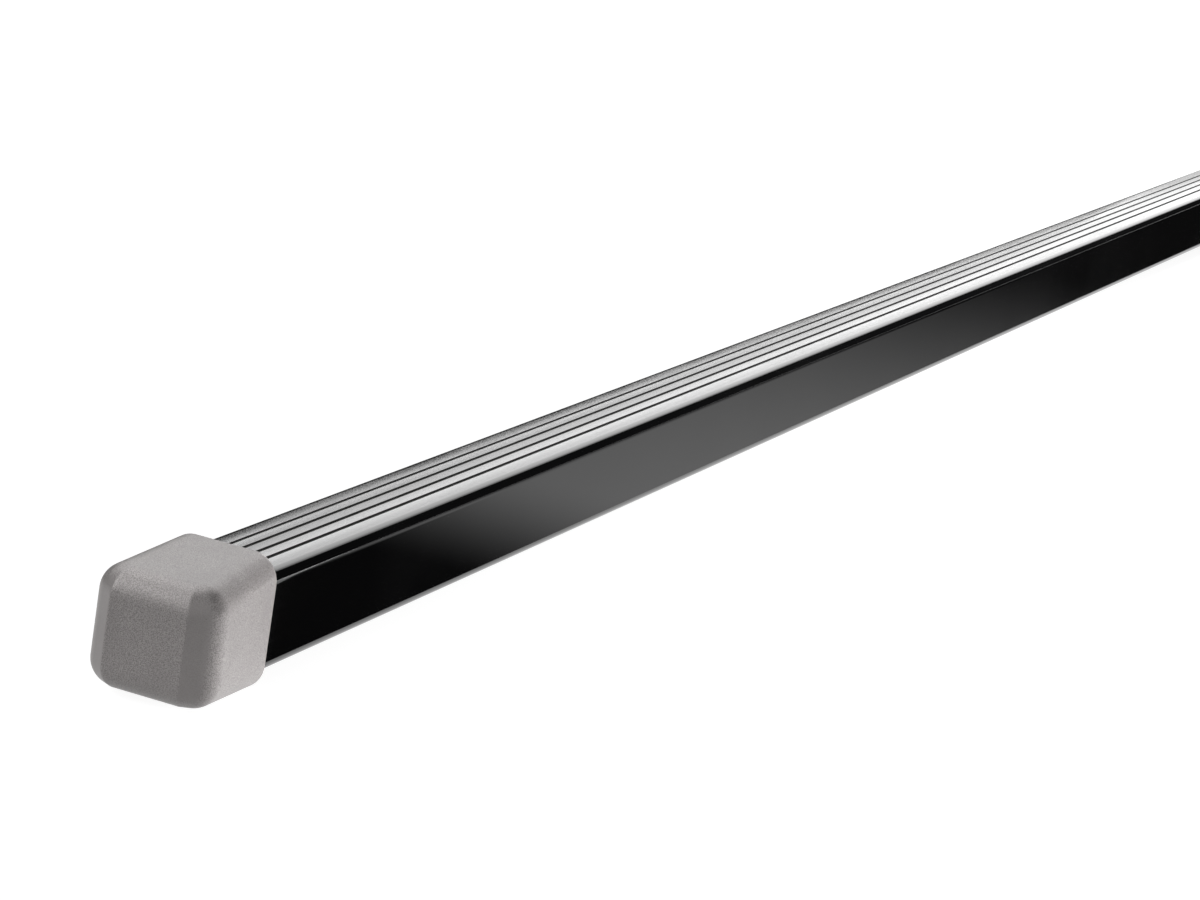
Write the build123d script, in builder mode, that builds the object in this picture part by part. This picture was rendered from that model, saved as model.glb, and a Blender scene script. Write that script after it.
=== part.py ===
from build123d import *
import os

# Square roof rack crossbar: a steel tube in a ribbed plastic jacket, with a moulded cap at each end.
# Millimetres. X runs along the bar, -Y is the side seen first, +Z is up.
# The origin is the middle of the bar's underside, where it sits on its feet.

# Steel tube, rolled from strip and welded along the middle of its far wall
bar_length = 1270.0
tube_side = 25.4
tube_wall = 1.65
tube_bend = 0.8
weld_width = 2.2
weld_height = 0.3

# Plastic jacket around the tube
jacket_fit = 0.05
jacket_wall = 1.55
jacket_top_wall = 1.6
jacket_corner = 3.4
jacket_crown = 0.8
end_relief = 0.15
relief_reveal = 0.4

# Grooves along the top of the jacket
groove_count = 4
groove_pitch = 4.3
groove_width = 0.9
groove_depth = 0.7
groove_root = 0.3
groove_lip = 0.25

# End cap, outside: it flares from its rim to its shoulders, and wide bevels lead from there to its front
cap_length = 38.0
cap_nose = 7.4
cap_side_wall = 1.6
cap_top_wall = 4.5
cap_bottom_wall = 3.2
cap_front_wall = 3.0
cap_top_fall = 3.3
cap_bottom_rise = 2.2
cap_rounding = 7.5
foot_flat = 0.4
rim_edge = 0.4
shoulder_flare = 2.5
bevel_depth = 5.0
bevel_side = 7.4

# End cap, inside
skirt_fit = 0.3
skirt_end_gap = 0.6
skirt_lead_in = 0.5
plug_length = 26.0
plug_fit = 0.45
plug_wall = 1.8
plug_corner = 1.4
plug_lead_in = 1.2
crush_rib_width = 1.4
crush_rib_height = 0.35
crush_rib_spacing = 11.0
crush_rib_setback = 1.2
web_wall = 1.6

# Sizes that follow
tube_corner = tube_bend + tube_wall
tube_bore = tube_side - 2 * tube_wall
jacket_bore = tube_side + 2 * jacket_fit
jacket_width = jacket_bore + 2 * jacket_wall
jacket_top = jacket_wall + jacket_bore + jacket_top_wall
tube_middle = jacket_wall + jacket_bore / 2
groove_places = [(i - (groove_count - 1) / 2) * groove_pitch for i in range(groove_count)]
bar_end = bar_length / 2
cap_inside_x = bar_end + skirt_end_gap
cap_front_x = cap_inside_x + cap_nose
rim_x = cap_front_x - cap_length
relief_start = rim_x - relief_reveal
rim_width = jacket_width + 2 * (skirt_fit + cap_side_wall)
rim_top = jacket_top + skirt_fit + cap_top_wall
rim_bottom = -skirt_fit - cap_bottom_wall
block_bottom = rim_bottom - foot_flat
front_top = rim_top - cap_top_fall
front_bottom = block_bottom + cap_bottom_rise
shoulder_x = cap_front_x - bevel_depth
rim_half = rim_width / 2
shoulder_half = rim_half + shoulder_flare
ridge_half = shoulder_half - bevel_side
plug_side = tube_bore - 2 * plug_fit
plug_tip_x = bar_end - plug_length
pocket_side = (plug_side - web_wall) / 2 - plug_wall
rib_start_x = plug_tip_x + plug_lead_in + crush_rib_setback


def crowned_section(width, bottom, top, crown, corner):
    """A rectangle with round corners, whose top edge bulges up to its full height in the middle."""
    half = width / 2
    shoulder = top - crown
    with BuildSketch() as section:
        with BuildLine():
            Polyline((half, shoulder), (half, bottom), (-half, bottom), (-half, shoulder))
            ThreePointArc((-half, shoulder), (0, top), (half, shoulder))
        make_face()
        fillet(section.vertices(), corner)
    return section.sketch


def jacket_outline(inset):
    """The jacket's outer section, brought in all round by an inset."""
    width = jacket_width - 2 * inset
    return crowned_section(width, inset, jacket_top - inset, jacket_crown, jacket_corner - inset)


def crown_height(y):
    """Height of the jacket's crowned top at a distance y from its middle."""
    half = jacket_width / 2
    radius = (half**2 + jacket_crown**2) / (2 * jacket_crown)
    return jacket_top - radius + (radius**2 - y**2) ** 0.5


def on_groove_lip(corner):
    """True for a corner of the jacket's section where a groove's wall meets the crowned top."""
    beside_groove = min(abs(corner.X - place) for place in groove_places) < groove_width
    return beside_groove and abs(corner.Y - crown_height(corner.X)) < groove_lip


def tube_section(side, corner):
    """A square with round corners, centred on the tube."""
    with BuildSketch() as section:
        with Locations((0, tube_middle)):
            RectangleRounded(side, side, corner)
    return section.sketch


# Steel tube
with BuildPart() as steel_tube:
    with BuildSketch(Plane.YZ.offset(-bar_end)):
        add(tube_section(tube_side, tube_corner))
        add(tube_section(tube_bore, tube_bend), mode=Mode.SUBTRACT)
        with Locations((tube_bore / 2, tube_middle)):
            Rectangle(2 * weld_height, weld_width)
    extrude(amount=bar_length)
steel_tube.part.label = "steel_tube"

# Plastic jacket, grooved along its crowned top
with BuildPart() as plastic_jacket:
    with BuildSketch(Plane.YZ.offset(-bar_end)) as jacket_profile:
        add(jacket_outline(0))
        with Locations(*[(y, crown_height(y)) for y in groove_places]):
            RectangleRounded(groove_width, 2 * groove_depth, groove_root, mode=Mode.SUBTRACT)
        fillet(jacket_profile.vertices().filter_by(on_groove_lip), groove_lip)
        add(tube_section(jacket_bore, tube_corner + jacket_fit), mode=Mode.SUBTRACT)
    extrude(amount=bar_length)
    for start in (-bar_end, relief_start):
        with BuildSketch(Plane.YZ.offset(start)):
            add(jacket_outline(-jacket_wall))
            add(jacket_outline(end_relief), mode=Mode.SUBTRACT)
        extrude(amount=bar_end - relief_start, mode=Mode.SUBTRACT)
plastic_jacket.part.label = "plastic_jacket"

# End cap at the +X end: its side view crossed with its plan view, rounded but for the rim and two ridges
with BuildPart() as end_cap_right:
    with BuildSketch(Plane.XZ):
        Polygon((rim_x, block_bottom), (rim_x, rim_top), (cap_front_x, front_top),
                (cap_front_x, front_bottom), align=None)
    extrude(amount=cap_length, both=True)
    with BuildSketch(Plane.XY):
        Polygon((rim_x, rim_half), (shoulder_x, shoulder_half), (cap_front_x, ridge_half),
                (cap_front_x, -ridge_half), (shoulder_x, -shoulder_half), (rim_x, -rim_half), align=None)
    extrude(amount=2 * cap_length, both=True, mode=Mode.INTERSECT)
    ridges = end_cap_right.edges().filter_by(Axis.Z).group_by(Axis.X)[-1]
    rim_edges = end_cap_right.edges().group_by(Axis.X)[0]
    fillet(end_cap_right.edges() - ridges - rim_edges, cap_rounding)
    chamfer(end_cap_right.faces().sort_by(Axis.X)[0].edges(), rim_edge)
    split(bisect_by=Plane.XY.offset(rim_bottom), keep=Keep.TOP)

    # The skirt's hollow, which slides over the jacket
    with BuildSketch(Plane.YZ.offset(rim_x)):
        add(jacket_outline(-skirt_fit))
    extrude(amount=cap_inside_x - rim_x, mode=Mode.SUBTRACT)
    rim_face = end_cap_right.faces().sort_by(Axis.X)[0]
    chamfer(rim_face.inner_wires()[0].edges(), skirt_lead_in)

    # The plug, with a tapered tip and two crush ribs on each side
    with BuildSketch(Plane.YZ.offset(plug_tip_x)) as plug_profile:
        with Locations((0, tube_middle)):
            Rectangle(plug_side, plug_side)
        chamfer(plug_profile.vertices(), plug_corner)
    extrude(amount=cap_inside_x - plug_tip_x)
    tip = end_cap_right.faces().filter_by(Plane.YZ).group_by(Axis.X)[1]
    chamfer(tip.edges(), plug_lead_in)
    with BuildSketch(Plane.YZ.offset(rib_start_x)):
        with Locations((0, tube_middle)):
            with PolarLocations(plug_side / 2, 4):
                with Locations((0, -crush_rib_spacing / 2), (0, crush_rib_spacing / 2)):
                    Rectangle(2 * crush_rib_height, crush_rib_width)
    extrude(amount=cap_inside_x - rib_start_x)

    # The plug's four pockets, which run on into the nose and leave two crossed webs
    with BuildSketch(Plane.YZ.offset(plug_tip_x)):
        with Locations((0, tube_middle)):
            with GridLocations(pocket_side + web_wall, pocket_side + web_wall, 2, 2):
                Rectangle(pocket_side, pocket_side)
    extrude(amount=cap_front_x - cap_front_wall - plug_tip_x, mode=Mode.SUBTRACT)
end_cap_right.part.label = "end_cap_right"

with BuildPart() as end_cap_left:
    mirror(end_cap_right.part, about=Plane.YZ)
end_cap_left.part.label = "end_cap_left"

os.makedirs("parts", exist_ok=True)
for piece in (steel_tube, plastic_jacket, end_cap_left, end_cap_right):
    export_step(piece.part, f"parts/{piece.part.label}.step")
    print(piece.part.label, piece.part.bounding_box(), round(piece.part.volume))
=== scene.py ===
# %% [markdown]
# # Square roof rack crossbar
# A roof rack crossbar is the beam that lies across a car's roof and carries clamps, boxes and racks.
# This one is a square steel tube inside a glossy black plastic jacket, with a grey moulded cap in each end.
# Its four pieces come from the CAD model and keep their shapes. This lesson gives them their finishes,
# then sets up the light and the camera of a small product studio.

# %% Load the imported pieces
import bmesh
import bpy
import math
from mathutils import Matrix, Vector


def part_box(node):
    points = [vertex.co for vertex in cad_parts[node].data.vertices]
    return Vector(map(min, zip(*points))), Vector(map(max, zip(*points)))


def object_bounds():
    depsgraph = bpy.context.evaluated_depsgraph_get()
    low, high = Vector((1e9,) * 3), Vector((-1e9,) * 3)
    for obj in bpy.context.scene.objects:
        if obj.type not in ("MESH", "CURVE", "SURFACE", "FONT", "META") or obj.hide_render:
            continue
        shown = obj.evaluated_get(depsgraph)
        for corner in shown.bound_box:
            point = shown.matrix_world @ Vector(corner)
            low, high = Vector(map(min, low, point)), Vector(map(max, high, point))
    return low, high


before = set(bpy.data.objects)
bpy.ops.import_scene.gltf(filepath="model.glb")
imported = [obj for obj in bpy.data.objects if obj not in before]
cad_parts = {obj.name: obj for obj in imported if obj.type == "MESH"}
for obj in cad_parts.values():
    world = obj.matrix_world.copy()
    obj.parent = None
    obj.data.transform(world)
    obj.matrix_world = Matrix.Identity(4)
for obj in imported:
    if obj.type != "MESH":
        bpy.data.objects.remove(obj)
cad_box = [list(corner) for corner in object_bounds()]
for name in sorted(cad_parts):
    low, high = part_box(name)
    print(name, "measures", [round(1000 * (high[i] - low[i]), 1) for i in range(3)], "mm")

# %% [markdown]
# ## Where the camera stands
# The view looks along the bar from beyond its near end, a little from above, with the camera rolled so that
# the bar climbs to the right. A long lens from a metre away keeps the near cap from bulging. The Standard
# view shows each tone as it was worked out, so that a white floor stays white.

# %% Camera
camera_place = (-1.44487, -0.42003, 0.29982)
camera_turn = (76.2377, -9.0465, -66.8559)
lens_mm = 111.871
sensor_mm = 36.0


def in_radians(angles):
    """Three angles in degrees, as Blender stores them."""
    return [math.radians(angle) for angle in angles]


camera_data = bpy.data.cameras.new("studio_camera")
camera_data.sensor_width = sensor_mm
camera_data.lens = lens_mm
camera = bpy.data.objects.new("studio_camera", camera_data)
camera.location = camera_place
camera.rotation_euler = in_radians(camera_turn)
bpy.context.scene.collection.objects.link(camera)
bpy.context.scene.camera = camera
bpy.context.scene.view_settings.view_transform = "Standard"
print("camera is", round(camera.location.length, 3), "m from the middle of the bar")

# %% [markdown]
# ## Helpers for shader nodes
# Every finish below is a small network of nodes. One short function adds a node, sets its values and joins
# its inputs to the outputs it is given, so that a finish reads from top to bottom like a recipe. The others
# add the kinds of node that come again and again.

# %% Add shader nodes
def add_node(tree, kind, settings=None, **inputs):
    """Adds a node and fills its inputs with values or with outputs of other nodes.

    An input is given by its name, with underscores for spaces, or by its number after an underscore.
    """
    made = tree.nodes.new(kind)
    for key, value in (settings or {}).items():
        setattr(made, key, value)
    for key, value in inputs.items():
        socket = made.inputs[int(key[1:])] if key[0] == "_" else made.inputs[key.replace("_", " ")]
        if isinstance(value, bpy.types.NodeSocket):
            tree.links.new(value, socket)
        else:
            socket.default_value = value
    return made


def math_node(tree, operation, first, second=0.0, third=0.0):
    """Adds a Math node and returns its result. Only MULTIPLY_ADD has a use for the third value."""
    return add_node(tree, "ShaderNodeMath", {"operation": operation}, _0=first, _1=second, _2=third).outputs[0]


def times(tree, first, second):
    """Multiplies two values or masks."""
    return math_node(tree, "MULTIPLY", first, second)


def ramp(tree, value, low, high, to_low=0.0, to_high=1.0):
    """Carries a value from one range smoothly over to another, and holds it at both ends."""
    return add_node(tree, "ShaderNodeMapRange", {"interpolation_type": "SMOOTHSTEP"}, Value=value,
                    From_Min=low, From_Max=high, To_Min=to_low, To_Max=to_high).outputs["Result"]


def place_on_piece(tree):
    """Where a point lies on its piece, in metres."""
    return add_node(tree, "ShaderNodeTexCoord").outputs["Object"]


print("helpers:", add_node.__name__, math_node.__name__, times.__name__, ramp.__name__, place_on_piece.__name__)

# %% [markdown]
# ## The grain of a moulding
# A steel mould is spark-eroded or etched before it makes grey caps, and that leaves a fine, even grain on
# the plastic: shallow pits about a third of a millimetre across, with finer ones between them. A bitmap
# would show its pixels close up. Two noises of different size keep their detail at any distance.
# The grain is a node group, because the cap and the top of the jacket both use it at their own sizes.

# %% Fine grain, shared by the caps and the jacket
finer_by = 2.7
coarse_share = 0.7
fine_share = 0.3
pit_bottom = 0.36
pit_rim = 0.64


def new_group(name, inputs, outputs):
    """Makes an empty shader node group with named number sockets."""
    tree = bpy.data.node_groups.new(name, "ShaderNodeTree")
    for socket_name, value in inputs.items():
        socket = tree.interface.new_socket(socket_name, in_out="INPUT", socket_type="NodeSocketFloat")
        socket.default_value = value
    for socket_name in outputs:
        tree.interface.new_socket(socket_name, in_out="OUTPUT", socket_type="NodeSocketFloat")
    return tree, tree.nodes.new("NodeGroupInput").outputs, tree.nodes.new("NodeGroupOutput").inputs


grain_group, grain_in, grain_out = new_group("Moulding Grain", {"Pits Per Metre": 3000.0}, ["Height", "Fleck"])
place = place_on_piece(grain_group)
coarse_pits = add_node(grain_group, "ShaderNodeTexNoise", Vector=place, Scale=grain_in["Pits Per Metre"],
                       Detail=2.0).outputs["Fac"]
fine_pits = add_node(grain_group, "ShaderNodeTexNoise", Vector=place,
                     Scale=times(grain_group, grain_in["Pits Per Metre"], finer_by), Detail=1.0).outputs["Fac"]
height = math_node(grain_group, "ADD", times(grain_group, coarse_pits, coarse_share),
                   times(grain_group, fine_pits, fine_share))
grain_group.links.new(height, grain_out["Height"])
grain_group.links.new(ramp(grain_group, height, pit_bottom, pit_rim), grain_out["Fleck"])
print("grain group has", len(grain_group.nodes), "nodes")

# %% [markdown]
# ## Signs of handling
# New plastic is never quite even. Hands leave broad smudges that are a little duller, and packing leaves
# faint rub lines along the length of the bar. The lines are a noise that is drawn out along the bar. Both
# are masks, so each finish decides how much they matter.

# %% Handling, shared by all finishes
drawn_out = (0.04, 1.0, 1.0)
smudge_range = (0.4, 0.68)
rub_range = (0.6, 0.78)

handling_group, handling_in, handling_out = new_group(
    "Handling", {"Smudges Per Metre": 22.0, "Rub Lines Per Metre": 700.0}, ["Smudge", "Rub"])
place = place_on_piece(handling_group)
smudges = add_node(handling_group, "ShaderNodeTexNoise", Vector=place, Scale=handling_in["Smudges Per Metre"],
                   Detail=3.0, Roughness=0.55).outputs["Fac"]
along_bar = add_node(handling_group, "ShaderNodeMapping", Vector=place, Scale=drawn_out).outputs[0]
rubs = add_node(handling_group, "ShaderNodeTexNoise", Vector=along_bar,
                Scale=handling_in["Rub Lines Per Metre"], Detail=2.0).outputs["Fac"]
handling_group.links.new(ramp(handling_group, smudges, *smudge_range), handling_out["Smudge"])
handling_group.links.new(ramp(handling_group, rubs, *rub_range), handling_out["Rub"])
print("handling group has", len(handling_group.nodes), "nodes")

# %% [markdown]
# ## Rubbed and highlighted edges
# The edges of a piece are touched and polished first, and on the caps this mask also lays a painted highlight.
# The Bevel node looks at the surface just around each point and gives the normal that a rounded edge would
# have. Where that differs from the real normal, the point lies near an edge, and the difference is the mask.

# %% Edge mask, shared by the caps and the tube
normals_agree = 0.995
normals_differ = 0.9

edge_group, edge_in, edge_out = new_group("Near Edge", {"Reach": 0.001}, ["Edge"])
rounded = add_node(edge_group, "ShaderNodeBevel", {"samples": 6}, Radius=edge_in["Reach"]).outputs["Normal"]
true_normal = add_node(edge_group, "ShaderNodeNewGeometry").outputs["Normal"]
agreement = add_node(edge_group, "ShaderNodeVectorMath", {"operation": "DOT_PRODUCT"},
                     _0=rounded, _1=true_normal).outputs["Value"]
edge_group.links.new(ramp(edge_group, agreement, normals_agree, normals_differ), edge_out["Edge"])
print("edge group has", len(edge_group.nodes), "nodes")

# %% [markdown]
# ## Helpers for a finish
# A finish is a material with one Principled shader. It places the groups above with sizes of its own, and
# goes from one colour to the next by their masks, as a painter lays thin coats over each other. The Mix
# node keeps sockets of the same name for each kind of value, so its colour sockets are picked by number.

# %% Start a finish, place a group, blend colours
first_colour_input = 6
second_colour_input = 7
colour_output = 2


def new_finish(name):
    """Makes a material with a plain Principled shader, and returns it with its node tree and that shader."""
    material = bpy.data.materials.new(name)
    material.use_nodes = True
    return material, material.node_tree, material.node_tree.nodes["Principled BSDF"]


def use_group(tree, group, **inputs):
    """Places a node group in a material and returns its outputs."""
    return add_node(tree, "ShaderNodeGroup", {"node_tree": group}, **inputs).outputs


def blend_colours(tree, mask, first, second):
    """Goes from one colour to another by a mask."""
    mix = add_node(tree, "ShaderNodeMix", {"data_type": "RGBA"}, Factor=mask)
    for index, colour in ((first_colour_input, first), (second_colour_input, second)):
        if isinstance(colour, bpy.types.NodeSocket):
            tree.links.new(colour, mix.inputs[index])
        else:
            mix.inputs[index].default_value = (*colour, 1.0)
    return mix.outputs[colour_output]


print("helpers:", new_finish.__name__, use_group.__name__, blend_colours.__name__)

# %% [markdown]
# ## Grey caps: where the grain is
# The caps are moulded in a warm grey plastic with a satin surface. The grain scatters the light, so the
# colour looks even and soft. The mould was left smooth on the two bevels beside the front. They are found by
# the way they face: out along the bar and to one side at once.

# %% Masks of the caps
faces_out_range = (0.60, 0.75)
faces_aside_range = (0.35, 0.50)
grain_lost_on_bevels = 0.75

cap_finish, tree, shader = new_finish("grey_moulded_plastic")
grain = use_group(tree, grain_group, Pits_Per_Metre=3400.0)
handling = use_group(tree, handling_group, Smudges_Per_Metre=60.0, Rub_Lines_Per_Metre=1500.0)
edge = use_group(tree, edge_group, Reach=0.0012)["Edge"]
way_it_faces = add_node(tree, "ShaderNodeTexCoord").outputs["Normal"]
facing = add_node(tree, "ShaderNodeSeparateXYZ", Vector=way_it_faces).outputs
on_bevel = times(tree, ramp(tree, math_node(tree, "ABSOLUTE", facing["X"]), *faces_out_range),
                 ramp(tree, math_node(tree, "ABSOLUTE", facing["Y"]), *faces_aside_range))
grain_left = math_node(tree, "SUBTRACT", 1.0, times(tree, on_bevel, grain_lost_on_bevels))
print("cap masks take", len(tree.nodes), "nodes")

# %% [markdown]
# ## Grey caps: colour
# Light catches the rims of the pits and misses their bottoms, so the flecks of the grain go from a darker to
# a lighter grey. Smudges dull the colour. The edges and ridges get a lighter grey, a painted highlight, where
# hands and packing also rub them.

# %% Colour of the caps
pit_grey = (0.205, 0.193, 0.191)
rim_grey = (0.425, 0.399, 0.394)
smudged_grey = (0.24, 0.225, 0.222)
# a lighter grey for the edges and ridges, a painted highlight
rubbed_highlight_grey = (0.42, 0.39, 0.385)
middle_fleck = 0.5
smudge_strength = 0.3
rub_and_highlight_strength = 0.2

fleck_contrast = math_node(tree, "SUBTRACT", grain["Fleck"], middle_fleck)
fleck = math_node(tree, "MULTIPLY_ADD", fleck_contrast, grain_left, middle_fleck)
flecked = blend_colours(tree, fleck, pit_grey, rim_grey)
smudged = blend_colours(tree, times(tree, handling["Smudge"], smudge_strength), flecked, smudged_grey)
# Edges and ridges turn a lighter grey: a painted highlight, where they are rubbed too.
rubbed_and_highlighted = blend_colours(tree, times(tree, edge, rub_and_highlight_strength), smudged, rubbed_highlight_grey)
tree.links.new(rubbed_and_highlighted, shader.inputs["Base Color"])
print("cap colour goes from", pit_grey, "to", rim_grey)

# %% [markdown]
# ## Grey caps: roughness and relief
# The grain makes the surface rougher, rubbing makes it smoother. Its height goes into a Bump node, on top of
# a Bevel node that softens the crisp ridges by about a millimetre, as the mould does. A little metallic
# shine stands for the fine metal flakes in the grey plastic.

# %% Roughness and relief of the caps
cap_roughness = 0.35
added_by_grain = 0.10
taken_by_rubbing = 0.12
flake_shine = 0.30

grained_roughness = math_node(tree, "MULTIPLY_ADD", grain["Fleck"], added_by_grain, cap_roughness)
roughness = math_node(tree, "SUBTRACT", grained_roughness, times(tree, edge, taken_by_rubbing))
tree.links.new(roughness, shader.inputs["Roughness"])
softened = add_node(tree, "ShaderNodeBevel", {"samples": 8}, Radius=0.0012).outputs["Normal"]
bump = add_node(tree, "ShaderNodeBump", Height=times(tree, grain["Height"], grain_left),
                Strength=0.6, Distance=0.00012, Normal=softened)
tree.links.new(bump.outputs["Normal"], shader.inputs["Normal"])
shader.inputs["Metallic"].default_value = flake_shine
print("cap finish has", len(tree.nodes), "nodes")

# %% [markdown]
# ## Black jacket: where the grain and the lighter grooves are
# The jacket is extruded in gloss black plastic, so it mirrors whatever stands around it. Its ribbed top is
# lightly grained by the die, to stop loads from slipping, and that breaks the mirror into fine sparkles.
# The sides and the rounded edges are smooth. The grooves are a lighter grey. Their mask compares a point's
# height with the crown's at that place, because the top falls off slightly to both sides. All ranges are
# lengths in metres, up from the underside or across from the bar's middle.

# %% Masks of the jacket
side_to_top = (0.0268, 0.0276)
rounding_to_land = (0.0115, 0.0105)
crown_to_groove = (0.0284, 0.0281)
outer_land_to_groove = (0.0088, 0.0078)
crown_fall_per_square_metre = 3.876

jacket_finish, tree, shader = new_finish("black_gloss_plastic")
grain = use_group(tree, grain_group, Pits_Per_Metre=2600.0)
handling = use_group(tree, handling_group, Smudges_Per_Metre=14.0, Rub_Lines_Per_Metre=900.0)
place = add_node(tree, "ShaderNodeSeparateXYZ", Vector=place_on_piece(tree)).outputs
across = math_node(tree, "ABSOLUTE", place["Y"])
on_top = times(tree, ramp(tree, place["Z"], *side_to_top), ramp(tree, across, *rounding_to_land))
crown_fall = times(tree, times(tree, across, across), crown_fall_per_square_metre)
below_crown = ramp(tree, math_node(tree, "ADD", place["Z"], crown_fall), *crown_to_groove)
in_grooves = times(tree, below_crown, ramp(tree, across, *outer_land_to_groove))
print("jacket masks take", len(tree.nodes), "nodes")

# %% [markdown]
# ## Black jacket: colour, roughness and relief
# The grooves are a little lighter grey. Smudges and rubs make the gloss duller, and every extrusion has faint
# draw lines along its length, which the rubs stand for in the relief.

# %% Colour, roughness and relief of the jacket
clean_black = (0.0006, 0.0006, 0.0007)
smudged_black = (0.0014, 0.0014, 0.0015)
groove_grey = (0.13, 0.13, 0.127)
gloss_roughness = 0.07
added_by_top_grain = 0.06
added_by_smudges = 0.03
added_by_rubs = 0.05
rub_relief = 0.03

black = blend_colours(tree, handling["Smudge"], clean_black, smudged_black)
# The grooves turn a lighter grey over the black.
grey_grooves = blend_colours(tree, times(tree, in_grooves, on_top), black, groove_grey)
tree.links.new(grey_grooves, shader.inputs["Base Color"])
grained_roughness = math_node(tree, "MULTIPLY_ADD", times(tree, grain["Fleck"], on_top),
                              added_by_top_grain, gloss_roughness)
handled_roughness = math_node(tree, "ADD", times(tree, handling["Smudge"], added_by_smudges),
                              times(tree, handling["Rub"], added_by_rubs))
tree.links.new(math_node(tree, "ADD", grained_roughness, handled_roughness), shader.inputs["Roughness"])
relief = math_node(tree, "ADD", times(tree, grain["Height"], on_top), times(tree, handling["Rub"], rub_relief))
bump = add_node(tree, "ShaderNodeBump", Height=relief, Strength=0.05, Distance=0.00004)
tree.links.new(bump.outputs["Normal"], shader.inputs["Normal"])
print("jacket finish has", len(tree.nodes), "nodes")

# %% [markdown]
# ## Galvanised tube
# Zinc cools in flat crystals, so galvanised steel shows a patchwork of slightly different greys. The strip
# was rolled before it was bent, which leaves fine lines along the tube. It shows only when a cap is off.

# %% Galvanised tube finish
dark_zinc = (0.50, 0.515, 0.53)
light_zinc = (0.66, 0.67, 0.68)
dulled_zinc = (0.42, 0.42, 0.41)
bright_zinc = (0.80, 0.80, 0.80)
smudge_strength = 0.5
rub_and_highlight_strength = 0.6
zinc_roughness = 0.34
added_by_crystals = 0.16

tube_finish, tree, shader = new_finish("galvanised_steel")
crystals = add_node(tree, "ShaderNodeTexVoronoi", Vector=place_on_piece(tree), Scale=260.0)
crystal_tone = add_node(tree, "ShaderNodeSeparateColor", Color=crystals.outputs["Color"]).outputs["Red"]
handling = use_group(tree, handling_group, Smudges_Per_Metre=30.0, Rub_Lines_Per_Metre=2200.0)
edge = use_group(tree, edge_group, Reach=0.0008)["Edge"]
zinc = blend_colours(tree, crystal_tone, dark_zinc, light_zinc)
dulled = blend_colours(tree, times(tree, handling["Smudge"], smudge_strength), zinc, dulled_zinc)
rubbed_and_highlighted = blend_colours(tree, times(tree, edge, rub_and_highlight_strength), dulled, bright_zinc)
tree.links.new(rubbed_and_highlighted, shader.inputs["Base Color"])
roughness = math_node(tree, "MULTIPLY_ADD", crystal_tone, added_by_crystals, zinc_roughness)
tree.links.new(roughness, shader.inputs["Roughness"])
bump = add_node(tree, "ShaderNodeBump", Height=handling["Rub"], Strength=0.3, Distance=0.00003)
tree.links.new(bump.outputs["Normal"], shader.inputs["Normal"])
shader.inputs["Metallic"].default_value = 1.0
print("tube finish has", len(tree.nodes), "nodes")

# %% [markdown]
# ## Dressing the pieces
# The pieces already carry material slots. Putting a finish into each slot changes how a piece looks and
# leaves its mesh alone, so the CAD model's shapes stay exact.

# %% Put the finishes on the pieces
finish_of = {
    "steel_tube": tube_finish,
    "plastic_jacket": jacket_finish,
    "end_cap_left": cap_finish,
    "end_cap_right": cap_finish,
}
for name, finish in finish_of.items():
    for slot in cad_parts[name].material_slots:
        slot.material = finish
    print(name, "wears", finish.name)

# %% [markdown]
# ## The studio table
# Catalogue pictures stand on a pale table that fades to white. The table's own colour is a light grey that
# takes the bar's shadow. To the camera and in reflections it glows a little besides, which lifts it to
# white without putting more light on the bar. The table is a grid of one face, stretched to its size.

# %% Table
table_side = 12.0
table_grey = (0.35, 0.35, 0.35, 1.0)
table_roughness = 0.9
table_glow = 0.9
white_light = (1.0, 1.0, 1.0, 1.0)


def flat_sheet(name, centre, length, width, tilt=(0.0, 0.0, 0.0)):
    """A flat rectangle that belongs to the studio, not to the bar."""
    shape = bmesh.new()
    bmesh.ops.create_grid(shape, x_segments=1, y_segments=1, size=0.5)
    bmesh.ops.scale(shape, vec=(length, width, 1.0), verts=shape.verts)
    mesh = bpy.data.meshes.new(name)
    shape.to_mesh(mesh)
    shape.free()
    sheet = bpy.data.objects.new(name, mesh)
    sheet.location = centre
    sheet.rotation_euler = in_radians(tilt)
    bpy.context.scene.collection.objects.link(sheet)
    return sheet


def backdrop_mask(tree):
    """One for rays that come from the camera, from a reflection or through glass, and nought for others."""
    path = add_node(tree, "ShaderNodeLightPath").outputs
    seen = math_node(tree, "MAXIMUM", path["Is Camera Ray"], path["Is Glossy Ray"])
    return math_node(tree, "MAXIMUM", seen, path["Is Transmission Ray"])


lowest = cad_box[0][2]
table = flat_sheet("studio_table", (0.0, 0.0, lowest), table_side, table_side)
table_finish, tree, shader = new_finish("pale_table")
shader.inputs["Base Color"].default_value = table_grey
shader.inputs["Roughness"].default_value = table_roughness
shader.inputs["Specular IOR Level"].default_value = 0.0
shader.inputs["Emission Color"].default_value = white_light
tree.links.new(times(tree, backdrop_mask(tree), table_glow), shader.inputs["Emission Strength"])
table.data.materials.append(table_finish)
print("table lies at", round(1000 * lowest, 2), "mm")

# %% [markdown]
# ## White surroundings
# The room around the table is white to the camera and in reflections, as the table is, but gives the bar
# only a dim, even light. The panels below do the real lighting.

# %% White room
room_light = 0.20
room_as_seen = 1.0

world = bpy.data.worlds.new("studio_world")
world.use_nodes = True
room = world.node_tree.nodes["Background"].inputs
room["Color"].default_value = white_light
strength = ramp(world.node_tree, backdrop_mask(world.node_tree), 0.0, 1.0, room_light, room_as_seen)
world.node_tree.links.new(strength, room["Strength"])
bpy.context.scene.world = world
print("room gives", room_light, "and is seen as", room_as_seen)

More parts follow.
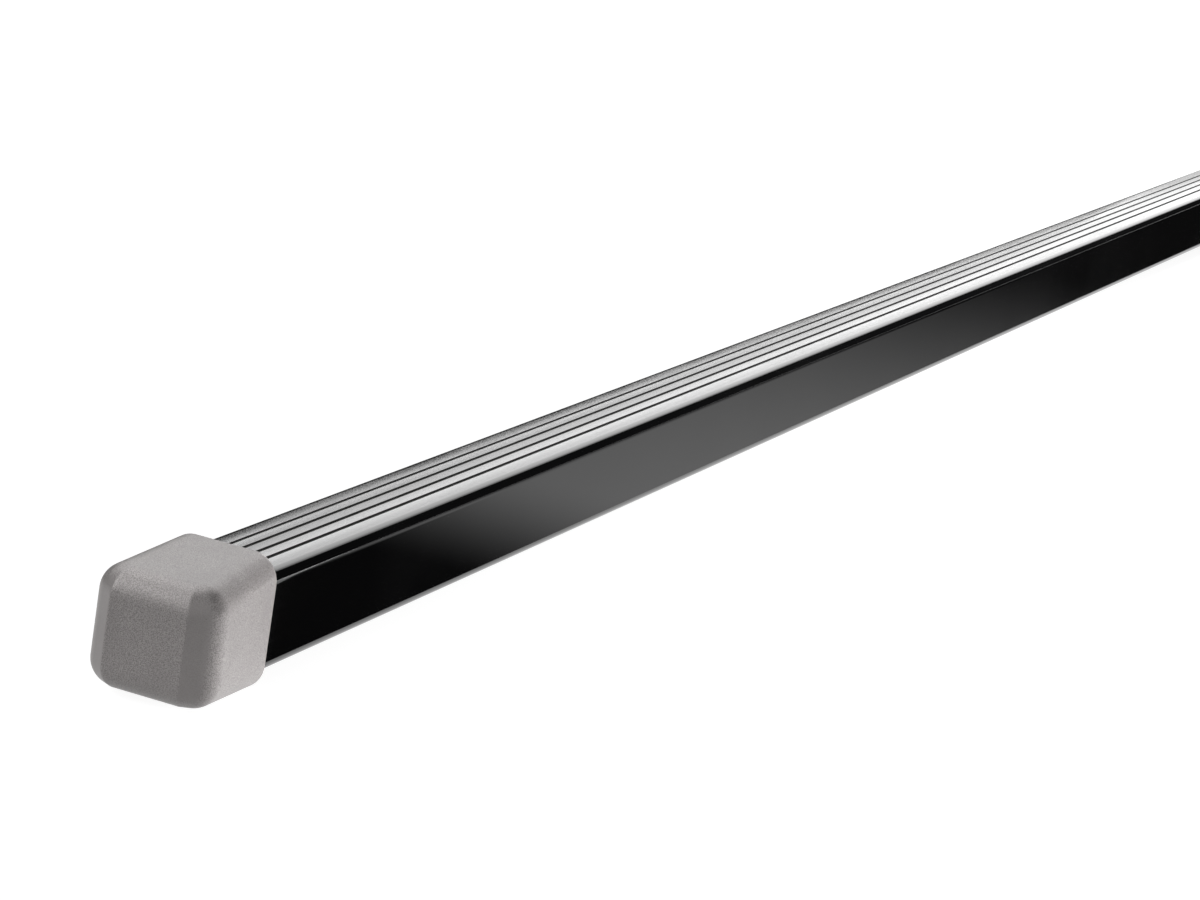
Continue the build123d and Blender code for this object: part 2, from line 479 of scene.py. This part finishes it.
# %% [markdown]
# ## Lights
# The main light is a long soft box that hangs over the bar. The grooved top mirrors it as bright lands, and
# where the box ends, beyond the bar, the far edge of the top goes dark. Two brighter strips just under the
# box lift the middle land and the far one, as tubes inside a real box do. A panel on the far side, beyond
# the near end, lights the cap's front and top. A low panel on the near side, far to the right, lights the
# cap's side but just misses the bevel that turns towards the camera. It is kept out of reflections, because
# the jacket would mirror it.

# %% Soft panels
def soft_panel(name, centre, width, height, radiance, aim=None):
    """An area light whose surface is as bright as given, where 1 is a white wall.

    It is aimed at a point, or else hangs level and shines down.
    """
    light = bpy.data.lights.new(name, "AREA")
    light.shape = "RECTANGLE"
    light.size = width
    light.size_y = height
    light.energy = radiance * math.pi * width * height
    panel = bpy.data.objects.new(name, light)
    panel.location = centre
    if aim is not None:
        panel.rotation_euler = (Vector(aim) - Vector(centre)).to_track_quat("-Z", "Y").to_euler()
    panel.visible_camera = False
    bpy.context.scene.collection.objects.link(panel)
    print(name, "gives", round(light.energy, 1), "W")
    return panel


box_length = 3.50
box_middle_x = 1.85
strip_height = 0.445

soft_panel("over_panel", (box_middle_x, 0.405, 0.45), box_length, 1.01, 1.30)
soft_panel("over_strip", (box_middle_x, 0.50, strip_height), box_length, 0.035, 2.6)
soft_panel("far_strip", (box_middle_x, 0.84, strip_height), box_length, 0.09, 2.2)
soft_panel("left_panel", (-1.0, 0.55, 0.45), 0.5, 0.5, 3.0, aim=(-0.64, 0.0, 0.02))
side_panel = soft_panel("side_panel", (0.03, -0.60, 0.055), 0.5, 0.1, 108.0, aim=(-0.62, 0.0, 0.02))
side_panel.visible_glossy = False

# %% [markdown]
# ## Dark surroundings for a glossy black thing
# A glossy black thing in a white studio turns grey, because it mirrors the white. Photographers lay dark
# cards beside it and hang black cloth around it, just out of sight. These show only in reflections, and
# leave the table its light. A sheet reflects nothing itself, so its tone is simply the strength of its glow.

# %% A sheet that only reflections see
no_colour = (0.0, 0.0, 0.0, 1.0)


def reflected_sheet(name, centre, length, width, tilt=(0.0, 0.0, 0.0)):
    """Makes a glowing sheet for reflections, and returns it with its node tree and the input for its tone."""
    sheet = flat_sheet(name, centre, length, width, tilt)
    finish, tree, shader = new_finish(name + "_surface")
    shader.inputs["Base Color"].default_value = no_colour
    shader.inputs["Specular IOR Level"].default_value = 0.0
    shader.inputs["Emission Color"].default_value = white_light
    sheet.data.materials.append(finish)
    for ray in ("camera", "diffuse", "transmission", "volume_scatter", "shadow"):
        setattr(sheet, "visible_" + ray, False)
    print(name, "measures", round(length, 3), "x", round(width, 3), "m")
    return sheet, tree, shader.inputs["Emission Strength"]


# %% [markdown]
# ## The near card
# This card lies on the table along the side of the bar that the camera sees. It is nearly black, but lighter
# in its middle, and the bar's side mirrors that as a soft glow which fades in quickly and out slowly. Its
# corner beside the cap is cut off on a slant, so that the cap still sees the white table.

# %% Card along the near side
card_height = lowest + 0.0005
card_end = 1.6
near_card_start = -0.590
near_card_outer_edge = -0.60
near_card_inner_edge = -0.020
cut_off = 1.11
glow_fades_in = (-0.46, -0.325)
glow_fades_out = (-0.40, 0.28)
darkest = 0.01
lightest = 0.65

middle_x = (near_card_start + card_end) / 2
middle_y = (near_card_inner_edge + near_card_outer_edge) / 2
near_card, tree, tone = reflected_sheet("near_card", (middle_x, middle_y, card_height),
                                        card_end - near_card_start,
                                        near_card_inner_edge - near_card_outer_edge)
for corner in near_card.data.vertices:
    if corner.co.x < 0 and corner.co.y < 0:
        corner.co.x += cut_off
along = add_node(tree, "ShaderNodeSeparateXYZ", Vector=place_on_piece(tree)).outputs["X"]
fade_in = ramp(tree, along, *[x - middle_x for x in glow_fades_in])
fade_out = ramp(tree, along, *[x - middle_x for x in glow_fades_out], 1.0, 0.0)
glow = math_node(tree, "MULTIPLY_ADD", times(tree, fade_in, fade_out), lightest - darkest, darkest)
tree.links.new(glow, tone)
print("near card starts at", near_card_start, "and ends at", card_end, "m")

# %% [markdown]
# ## The other cards and the cloth
# The far card and the far cloth darken the far edge of the bar's top. Two bright cards do the opposite work:
# one lies in front of the cap, the other hangs above the bar, where the rounded edge between the cap's front
# and top mirrors it. The cloths on the near side, at the end and overhead hide the white room from the near
# edge of the bar's top. A row of the list gives a name, a centre, a length and a width, a tilt and a tone.

# %% Sheets of one even tone
level = (0.0, 0.0, 0.0)
upright = (90.0, 0.0, 0.0)
across_the_end = (90.0, 0.0, 90.0)

for name, centre, length, width, tilt, tone in (
        ("far_card", (0.55, 0.46, card_height), 2.1, 0.88, level, 0.05),
        ("front_card", (-1.10, 0.15, card_height), 0.84, 1.0, level, 0.70),
        ("crest_card", (-0.46, 0.28, 0.46), 0.50, 0.6, level, 2.7),
        ("near_cloth", (2.5, -1.6, 1.0), 7.0, 2.2, upright, 0.02),
        ("end_cloth", (5.9, -0.8, 1.0), 1.7, 2.2, across_the_end, 0.02),
        ("roof_cloth", (2.5, -0.8, 2.0), 7.0, 1.7, level, 0.02),
        ("far_cloth", (2.5, 1.5, 0.5), 7.0, 1.0, upright, 0.06)):
    reflected_sheet(name, centre, length, width, tilt)[2].default_value = tone
